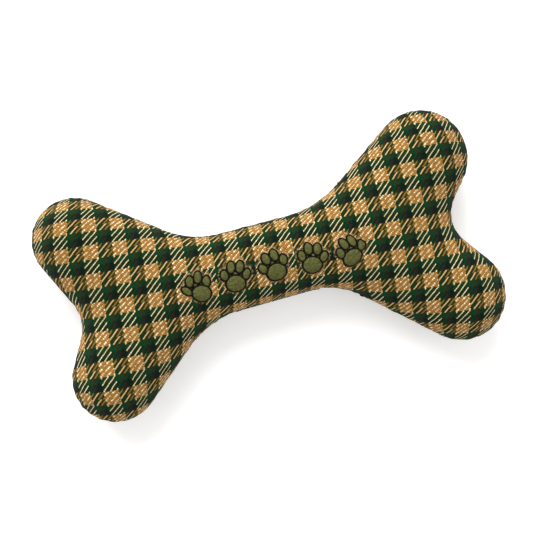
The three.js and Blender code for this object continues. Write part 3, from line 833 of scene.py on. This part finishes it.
def machine_thread(name, side):
    """One of the seam's two threads, from one end of the closing seam round to the other."""
    line = whole_edge(stitch_inset)
    whole = run_along(line)[-1]
    ends = closing_length / 2 / whole
    stitches = round((whole - closing_length) / stitch_length)
    step = np.arange(stitches * stitch_steps + 1) / stitch_steps
    flat = evenly(line, ends + (1 - 2 * ends) * step / stitches)
    lift = seam_gap + cloth_thickness + thread_clearance + seam_thread_radius
    height = side * (lift - stitch_dip * np.abs(np.cos(np.pi * step)) ** 6)
    points = np.column_stack((flat, height)) + toy_place
    return grid_piece(name, round_thread(points, seam_thread_radius, seam_thread_sides))


needle_thread = machine_thread("seam_needle_thread", 1)
bobbin_thread = machine_thread("seam_bobbin_thread", -1)


def spun_finish(name, colour, shadow, roughness, pitch):
    """Twisted thread: fine stripes that slant across it, with painted shade between the strands."""
    material, tree, shader, place = finish_named(name)
    x, y, z = along_axes(tree, place)
    strand = ((x + y + z) * (1 / (pitch * millimetre))).from_middle()
    wear = noise(tree, place, scale=900.0, detail=3.0)
    shade = strand * 0.7 + wear * 0.3
    normal = raised(tree, shade, rise=0.05)
    feed(shader, {"Base Color": mixed(tree, shade, shadow, colour), "Normal": normal, "Roughness": roughness})
    return material


dark_thread = spun_finish("dark_thread", dye(40, 62, 40), dye(16, 28, 18), roughness=0.6, pitch=0.35)
for thread, node in ((needle_thread, "needle_thread"), (bobbin_thread, "bobbin_thread")):
    put_in(thread, node, "seam_thread", dark_thread)
    flattening(thread)


# Closing stitches
# The toy is turned and filled through a gap of 60 mm in the lower side of the shaft. It is whipped shut
# by hand with a doubled thread: twelve stitches that slant over the edge and back, and sink in at
# both ends.

closing_radius, closing_reach, closing_turns = 0.35, 1.1, 24
closing_steps, closing_sides = 10, 12
closing_twist, closing_ply = 1.4, 0.3
closing_clearance, closing_sink = 0.1, 0.55
closing_turn_softness = 0.985

closing_line = whole_edge(0.0)
closing_share = closing_length / run_along(closing_line)[-1]
closing_step = np.arange(closing_turns * closing_steps + 1) / closing_steps
closing_flat = evenly(
    np.concatenate((closing_line[:-1], closing_line)),
    0.5 + closing_share / 2 * (closing_step / closing_turns - 0.5))
closing_swing = 2 / np.pi * np.arcsin(np.cos(np.pi * closing_step) * closing_turn_softness)
closing_ahead = np.gradient(closing_flat, axis=0)
closing_ahead /= np.hypot(*closing_ahead.T)[:, None]
closing_out = np.column_stack((closing_ahead[:, 1], -closing_ahead[:, 0]))
closing_lift = closing_radius + closing_clearance - closing_sink * np.abs(closing_swing) ** 5
closing_points = np.column_stack((
    closing_flat + closing_out * closing_lift[:, None], -closing_reach * closing_swing)) + toy_place
closing_grid = round_thread(closing_points, closing_radius, closing_sides, closing_twist, closing_ply)
closing_thread = grid_piece("closing_stitches", closing_grid)
put_in(closing_thread, "closing_thread", "seam_thread", dark_thread)
flattening(closing_thread)


# Paw prints
# Five padded prints in satin stitch stand in a row along the shaft. Each pad is a layer of olive
# threads laid side by side over it, and a narrow border of darker thread is stitched round it.

satin_pitch, satin_rise, satin_groove = 0.42, 1.1, 0.16
satin_steps, satin_profile = 5, 26
pad_shoulder = 0.42  # how steeply a pad swells from its edge: 0.5 is an ellipse
pad_edge_rise, pad_foot, pad_lift = 0.3, 0.1, 0.3
border_rise, border_ridge, border_steps, border_profile = 0.95, 0.16, 4, 8
border_middle, border_half_width = 0.315, 0.675


def on_cloth(along, across, lift):
    """Points on the front cover, measured along the shaft and then across it over the cloth, and
    raised from it: between the two nearest ribs, and on them between the two nearest rings."""
    shape = along.shape
    along, across, lift = along.ravel(), across.ravel(), lift.ravel()
    reach = (1 - along / fork_out) / 2 * shaft_stations
    station = np.where(across < 0, lower_shaft_start + shaft_stations - reach, upper_shaft_start + reach)
    left = np.floor(station).astype(int)
    share = (station - left)[None]
    run = front_length[: dome_rings + 1]
    length = run[:, left] * (1 - share) + run[:, left + 1] * share
    distance = np.abs(across)
    ring = np.clip((length <= distance).sum(0) - 1, 0, dome_rings - 1)
    point = np.arange(len(along))
    near, far = length[ring, point], length[ring + 1, point]
    up = ((distance - near) / (far - near))[:, None]
    share = share[0][:, None]

    def between(values):
        """A value at each point, in proportion to its places between the four grid points round it."""
        low = values[ring, left] * (1 - share) + values[ring, left + 1] * share
        high = values[ring + 1, left] * (1 - share) + values[ring + 1, left + 1] * share
        return low * (1 - up) + high * up

    normal = between(front_normals)
    normal /= np.linalg.norm(normal, axis=1, keepdims=True)
    return (between(front_outer) + normal * lift[:, None] + toy_place).reshape(*shape, 3)


def satin_pad(wide, high):
    """A pad of satin stitches, as a closed skin: rows of threads side by side up the pad, each a
    ridge that runs across it, over a dome that falls steeply at the edge, and a flat foot below."""
    threads = int(2 * high / satin_pitch)
    row = np.linspace(-1, 1, threads * satin_steps + 1)[:, None]
    half = np.sqrt(1 - row ** 2)
    over = np.cos(np.linspace(np.pi, 0, satin_profile))[None]
    crown = np.clip((1 - row ** 2) * (1 - over ** 2), 0, 1) ** pad_shoulder
    strand = np.abs(np.cos(np.pi * np.arange(len(row)) / satin_steps))[:, None] ** 0.7
    top = pad_edge_rise * crown ** 0.3 + satin_rise * crown - satin_groove * strand * crown ** 0.5
    x = np.concatenate((half * over, half * over[:, ::-1]), axis=1) * wide
    y = np.repeat(row * high, 2 * satin_profile, axis=1)
    z = np.concatenate((top, np.full_like(top, -pad_foot)), axis=1)
    return np.stack((x, y, z), axis=-1)


def stitched_border(wide, high):
    """A border round a pad: a low rounded band carried round an ellipse, with a ridge for each of the
    stitches that cross it."""
    stitches = int(np.pi * (wide + high) / satin_pitch)
    angle = 2 * np.pi * np.arange(border_steps * stitches)[:, None] / (border_steps * stitches)
    section = np.pi * np.arange(border_profile)[None] / (border_profile - 1)
    ridge = 1 + border_ridge * np.cos(angle * stitches)
    offset = (border_middle - np.cos(section) * border_half_width) * ridge
    line_x, line_y = wide * np.cos(angle), high * np.sin(angle)
    out_x, out_y = np.cos(angle) / wide, np.sin(angle) / high
    out = np.hypot(out_x, out_y)
    z = border_rise * np.sin(section) * ridge - pad_foot
    return np.stack((line_x + offset * out_x / out, line_y + offset * out_y / out, z), axis=-1)


def joined(name, shapes):
    """One piece out of several, which have its first and its second finish by turns."""
    whole = bmesh.new()
    for number, shape in enumerate(shapes):
        faces = shape.data.polygons
        faces.foreach_set("material_index", np.full(len(faces), number % 2, np.int32))
        whole.from_mesh(shape.data)
        bpy.data.objects.remove(shape)
    mesh = bpy.data.meshes.new(name)
    whole.to_mesh(mesh)
    whole.free()
    mesh.shade_smooth()
    return placed(name, mesh)


def paw_print(number):
    """Five pads with their borders, turned as the print is and laid on the cover."""
    spot, tilt = paw_spot(number)
    shapes = []
    for pad in paw_pads:
        wide, high = pad["wide"] * paw_height, pad["high"] * paw_height
        for grid, closed_rows in ((satin_pad(wide, high), False), (stitched_border(wide, high), True)):
            x, y = turned(grid[..., 0], grid[..., 1], pad["tilt"])
            x, y = turned(x + pad["across"] * paw_height, y + pad["up"] * paw_height, tilt)
            points = on_cloth(x + spot, y - paw_drop, grid[..., 2] + pad_lift)
            shapes.append(grid_piece("pad", points, closed_rows))
    return joined(f"satin_paw_{number + 1}", shapes)


def satin_finish(name, colour, shadow):
    """Shiny embroidery thread, with a little difference from one strand to the next."""
    material, tree, shader, place = finish_named(name)
    strands = noise(tree, place, scale=2200.0, roughness=0.7)
    mottle = noise(tree, place, scale=750.0, roughness=0.6)
    patches = noise(tree, place, scale=260.0)
    shade = (strands * 0.35 + mottle * 0.45 + patches * 0.2).ease(0.32, 0.68)
    feed(shader, {
        "Base Color": mixed(tree, shade, shadow, colour), "Normal": raised(tree, strands, rise=0.06),
        "Roughness": 0.55, "Specular IOR Level": 0.12,
    })
    return material


olive_satin = satin_finish("olive_satin", dye(100, 101, 52), dye(62, 64, 28))
border_satin = satin_finish("border_satin", dye(20, 20, 10), dye(6, 6, 3))
for number in range(paw_count):
    paw = paw_print(number)
    put_in(paw, f"paw_print_{number + 1}", "embroidery_thread", olive_satin, border_satin)
    flattening(paw)


# Embroidery backing
# A strip of thin tear-away fleece lies under the cloth behind the prints, held by their stitches.
# It is 132 mm by 34 mm and follows the inside of the front cover.

backing_half_length, backing_half_width, backing_thickness = 66.0, 17.0, 0.3
backing_depth = 1.5  # from the cover's outer face to the fleece
backing_steps, backing_rows = 89, 24

backing_width = np.linspace(-backing_half_width, backing_half_width, backing_rows)
backing_along, backing_across = np.meshgrid(
    np.linspace(-backing_half_length, backing_half_length, backing_steps),
    np.concatenate((backing_width, backing_width[::-1])), indexing="ij")
backing_lift = np.full_like(backing_along, -backing_depth)
backing_lift[:, backing_rows:] -= backing_thickness
backing_lift[[0, -1]] = -backing_depth - backing_thickness / 2
backing = grid_piece("backing_fleece", on_cloth(backing_along, backing_across, backing_lift))


def felt_finish(name, colour, shadow, scale, rise):
    """Matted fibres: two sizes of soft noise, the finer one drawn out into short lines."""
    material, tree, shader, place = finish_named(name)
    drawn = made(tree, "Mapping", {"Vector": place, "Rotation": (0.4, 0.3, 0.6), "Scale": (1, 4, 1)})
    fibres = noise(tree, drawn.outputs["Vector"], scale, detail=4.0, roughness=0.7)
    tufts = noise(tree, place, scale / 6)
    shade = fibres * 0.6 + tufts * 0.4
    feed(shader, {
        "Base Color": mixed(tree, shade.ease(0.3, 0.65), shadow, colour),
        "Normal": raised(tree, shade, rise), "Roughness": 0.95, "Sheen Weight": 0.3,
    })
    return material


fleece = felt_finish("fleece", dye(246, 245, 240), dye(214, 212, 204), scale=900.0, rise=0.15)
put_in(backing, "embroidery_backing", "backing_fleece", fleece)
flattening(backing)


# Filling
# Curly polyester fibre goes in by the handful until the toy is hard: one handful in each knob, one in
# each fork, and one on each side of the squeaker. Each is pressed into the shape of its room.

filling_voxel, rounding_passes = 2.0, 6
drawn_in, fluff_height, fluff_dip, fluff_top = 0.55, 0.55, 1.2, 0.5
fluff_waves, longest_wave, shortest_wave = 40, 30.0, 4.0
first_seed = 20
handfuls = [
    "filling_right_top_knob", "filling_left_top_knob", "filling_left_bottom_knob",
    "filling_right_bottom_knob", "filling_left_end", "filling_right_end",
    "filling_over_squeaker", "filling_under_squeaker",
]


def fluff(points, seed):
    """Small tufts: a sum of sines across random directions, from the longest to the shortest."""
    draw = np.random.default_rng(seed)
    heading = draw.normal(size=(fluff_waves, 3))
    heading /= np.linalg.norm(heading, axis=1, keepdims=True)
    waves = 2 * np.pi / np.geomspace(longest_wave, shortest_wave, fluff_waves)[:, None] * heading
    phases = draw.uniform(0, 2 * np.pi, fluff_waves)
    return np.sin(points @ waves.T + phases).sum(1) / np.sqrt(fluff_waves)


def handful(node, seed):
    """A handful of fibre: the room it fills, rounded off and drawn in a little, with tufts on it."""
    room = placed("room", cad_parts[node].data.copy())
    welded(room.data, 1e-6)
    remesh = room.modifiers.new("packed", "REMESH")
    remesh.mode = "VOXEL"
    remesh.voxel_size = filling_voxel * millimetre
    smooth = room.modifiers.new("rounded", "SMOOTH")
    smooth.factor = 0.5
    smooth.iterations = rounding_passes
    graph = bpy.context.evaluated_depsgraph_get()
    mesh = bpy.data.meshes.new_from_object(room.evaluated_get(graph))
    bpy.data.objects.remove(room)
    mesh.name = node
    place, normal = np.empty(len(mesh.vertices) * 3), np.empty(len(mesh.vertices) * 3, np.float32)
    mesh.vertices.foreach_get("co", place)
    mesh.vertex_normals.foreach_get("vector", normal)
    place, normal = place.reshape(-1, 3) / millimetre, normal.reshape(-1, 3)
    tufts = np.clip(fluff_height * fluff(place, seed), -fluff_dip, fluff_top)
    place += normal * (tufts - drawn_in)[:, None]
    mesh.vertices.foreach_set("co", (place * millimetre).ravel())
    mesh.materials.clear()
    mesh.shade_smooth()
    piece = placed(node.replace("filling", "fibre"), mesh)
    soft = piece.modifiers.new("soft", "SUBSURF")
    soft.levels = soft.render_levels = 1
    return piece


fibre_finish = felt_finish("curly_fibre", dye(247, 246, 243), dye(206, 205, 200), scale=420.0, rise=0.6)
for number, node in enumerate(handfuls):
    fibre = handful(node, first_seed + number)
    put_in(fibre, node, "fibre_filling", fibre_finish)
    flattening(fibre)


# Squeaker bulb
# A drum of soft vinyl, moulded in two halves whose parting line shows round its middle. Its mouth in
# the upper face holds the plug, and pressing it drives air through the reed.

bulb_middle = toy_place + (0, bow, 0)
bulb_radius, bulb_half_height, bulb_wall, bulb_round = 18.0, 12.0, 1.2, 8.0
plug_radius, plug_gap = 5.0, 0.3
parting_rise, parting_half_width = 0.3, 0.5
lathe_steps, rim_steps, wall_steps, dish_steps = 96, 15, 13, 8


def lathed(name, profile, closed):
    """A piece turned round the squeaker's upright axis from a profile of radii and heights."""
    angle = 2 * np.pi * np.arange(lathe_steps)[None] / lathe_steps
    radius, height = profile[:, :1], profile[:, 1:]
    grid = np.stack((radius * np.cos(angle), radius * np.sin(angle), height + 0 * angle), axis=-1)
    return grid_piece(name, grid + bulb_middle, closed)


def bulb_side(grow):
    """Half of the drum's side view, from below the middle, round both rims and in to the mouth."""
    turn, flat_radius = bulb_round + grow, bulb_radius - bulb_round
    angle = np.linspace(0, np.pi / 2, rim_steps)[:, None]
    level = bulb_half_height - bulb_round
    low = np.hstack((flat_radius + turn * np.sin(angle), -level - turn * np.cos(angle)))
    wall = np.linspace(-level, level, wall_steps)[1:-1, None]
    bead = parting_rise * np.exp(-(wall / parting_half_width) ** 2) if grow == 0 else 0 * wall
    side = np.hstack((bulb_radius + grow + bead, wall))
    high = low[::-1] * (1, -1)
    dish = np.linspace(0, 1, dish_steps)[:, None]
    bottom = np.hstack((dish * flat_radius, 0 * dish - bulb_half_height - grow))[:-1]
    mouth = plug_radius + plug_gap
    top = np.hstack((flat_radius * (1 - dish) + mouth * dish, 0 * dish + bulb_half_height + grow))[1:]
    return np.concatenate((bottom, low, side, high, top))


bulb = lathed("squeaker_drum", np.concatenate((bulb_side(0.0), bulb_side(-bulb_wall)[::-1])), False)


def moulded_finish(name, colour, shadow, roughness, scale, rise):
    """Moulded plastic: a very fine grain in the surface and a faint cloudiness in the colour."""
    material, tree, shader, place = finish_named(name)
    grain_height = noise(tree, place, scale, detail=3.0)
    cloud = noise(tree, place, scale / 20)
    feed(shader, {
        "Base Color": mixed(tree, cloud.ease(0.3, 0.7), shadow, colour),
        "Roughness": grain_height * 0.2 + (roughness - 0.1), "Normal": raised(tree, grain_height, rise),
    })
    return material


pale_vinyl = moulded_finish(
    "pale_vinyl", dye(234, 229, 214), dye(222, 215, 196), roughness=0.45, scale=2400.0, rise=0.03)
put_in(bulb, "squeaker_bulb", "bulb_vinyl", pale_vinyl)
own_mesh(bulb)


# Squeaker plug
# A hard plastic housing snaps into the bulb's mouth as far as its flange. A half-round bed in its bore
# carries the reed, and a small clip pinches the reed's upper end against it.

housing_length, housing_wall = 9.0, 1.4
flange_radius, flange_thickness = 7.2, 1.1
reed_length, reed_width, reed_thickness = 7.0, 3.6, 0.2
clip_length, clip_thickness = 2.0, 1.2
edge_round, film_round, housing_round = 0.25, 0.08, 0.15
snap_foot, snap_top, snap_slope, snap_depth = 3.0, 1.6, 0.4, 0.35  # the groove that the bulb's lip snaps into
bore_slope = 0.5
bed_steps, air_groove_depth, air_groove_half_width = 33, 0.7, 1.0
plug_top = bulb_half_height + plug_gap + flange_thickness
flange_foot = plug_top - flange_thickness
bore_radius = plug_radius - housing_wall
reed_top = plug_top - plug_gap


def rounded_corners(points, reach, steps=5):
    """A closed profile with each corner cut back by reach and turned through it on a curve."""
    before, after = np.roll(points, 1, axis=0), np.roll(points, -1, axis=0)
    to_before = (before - points) / np.linalg.norm(before - points, axis=1, keepdims=True)
    to_after = (after - points) / np.linalg.norm(after - points, axis=1, keepdims=True)
    share = np.linspace(0, 1, steps)[None, :, None]
    start, stop = (points + reach * to_before)[:, None], (points + reach * to_after)[:, None]
    middle = points[:, None]
    curve = start * (1 - share) ** 2 + 2 * middle * share * (1 - share) + stop * share ** 2
    return curve.reshape(-1, 2)


housing_profile = rounded_corners(np.array([
    (bore_radius, plug_top - housing_length), (plug_radius, plug_top - housing_length),
    (plug_radius, flange_foot - snap_foot - snap_slope), (plug_radius - snap_depth, flange_foot - snap_foot),
    (plug_radius - snap_depth, flange_foot - snap_top), (plug_radius, flange_foot - snap_top + snap_slope),
    (plug_radius, flange_foot), (flange_radius, flange_foot), (flange_radius, plug_top),
    (bore_radius + bore_slope, plug_top), (bore_radius, plug_top - bore_slope),
]), housing_round)
housing = lathed("plug_housing", housing_profile, True)


def upright_bar(name, section, foot, top):
    """A closed section carried up the squeaker's axis, with its two ends rounded off and closed."""
    rise, size = np.array([(0, 0), (0, 0.8), (0.3, 0.95), (0.75, 0.99), (1, 1)]).T
    level = np.concatenate((foot + rise * edge_round, top - rise[::-1] * edge_round))
    size = np.concatenate((size, size[::-1]))
    middle = section.mean(0)
    flat = middle + (section - middle)[None] * size[:, None, None]
    height = np.repeat(level[:, None, None], len(section), axis=1)
    return grid_piece(name, np.concatenate((flat, height), axis=2) + bulb_middle)


bed_radius = bore_radius - plug_gap
bed_angle = np.linspace(np.pi, 2 * np.pi, bed_steps)
bed_round = bed_radius * np.column_stack((np.cos(bed_angle), np.sin(bed_angle)))
bed_flat = np.linspace(bed_radius, -bed_radius, bed_steps)[1:-1]
bed_groove = air_groove_depth * np.exp(-(bed_flat / air_groove_half_width) ** 4)
bed_section = np.concatenate((bed_round, np.column_stack((bed_flat, -bed_groove))))
bed = upright_bar("plug_reed_bed", bed_section, reed_top - reed_length, reed_top)


def bar_section(low, high, reach):
    """A rectangle between two heights across the bore, as wide as the reed, with rounded corners."""
    half = reed_width / 2
    return rounded_corners(np.array([(-half, low), (half, low), (half, high), (-half, high)]), reach)


clip_foot = 2 * plug_gap + reed_thickness
film_section = bar_section(plug_gap, plug_gap + reed_thickness, film_round)
reed = upright_bar("reed_film", film_section, reed_top - reed_length, reed_top)
clip_section = bar_section(clip_foot, clip_foot + clip_thickness, edge_round)
clip = upright_bar("plug_reed_clip", clip_section, reed_top - clip_length, reed_top)

hard_plastic = moulded_finish(
    "hard_plastic", dye(244, 242, 236), dye(232, 229, 220), roughness=0.35, scale=1800.0, rise=0.02)
reed_film = moulded_finish(
    "clear_film", dye(226, 222, 206), dye(210, 204, 184), roughness=0.25, scale=3000.0, rise=0.01)
for piece, node in ((housing, "reed_housing"), (bed, "reed_bed"), (clip, "reed_clip")):
    put_in(piece, node, "hard_plastic", hard_plastic, body="squeaker_plug")
put_in(reed, "reed", "reed_film", reed_film, body="reed_strip")
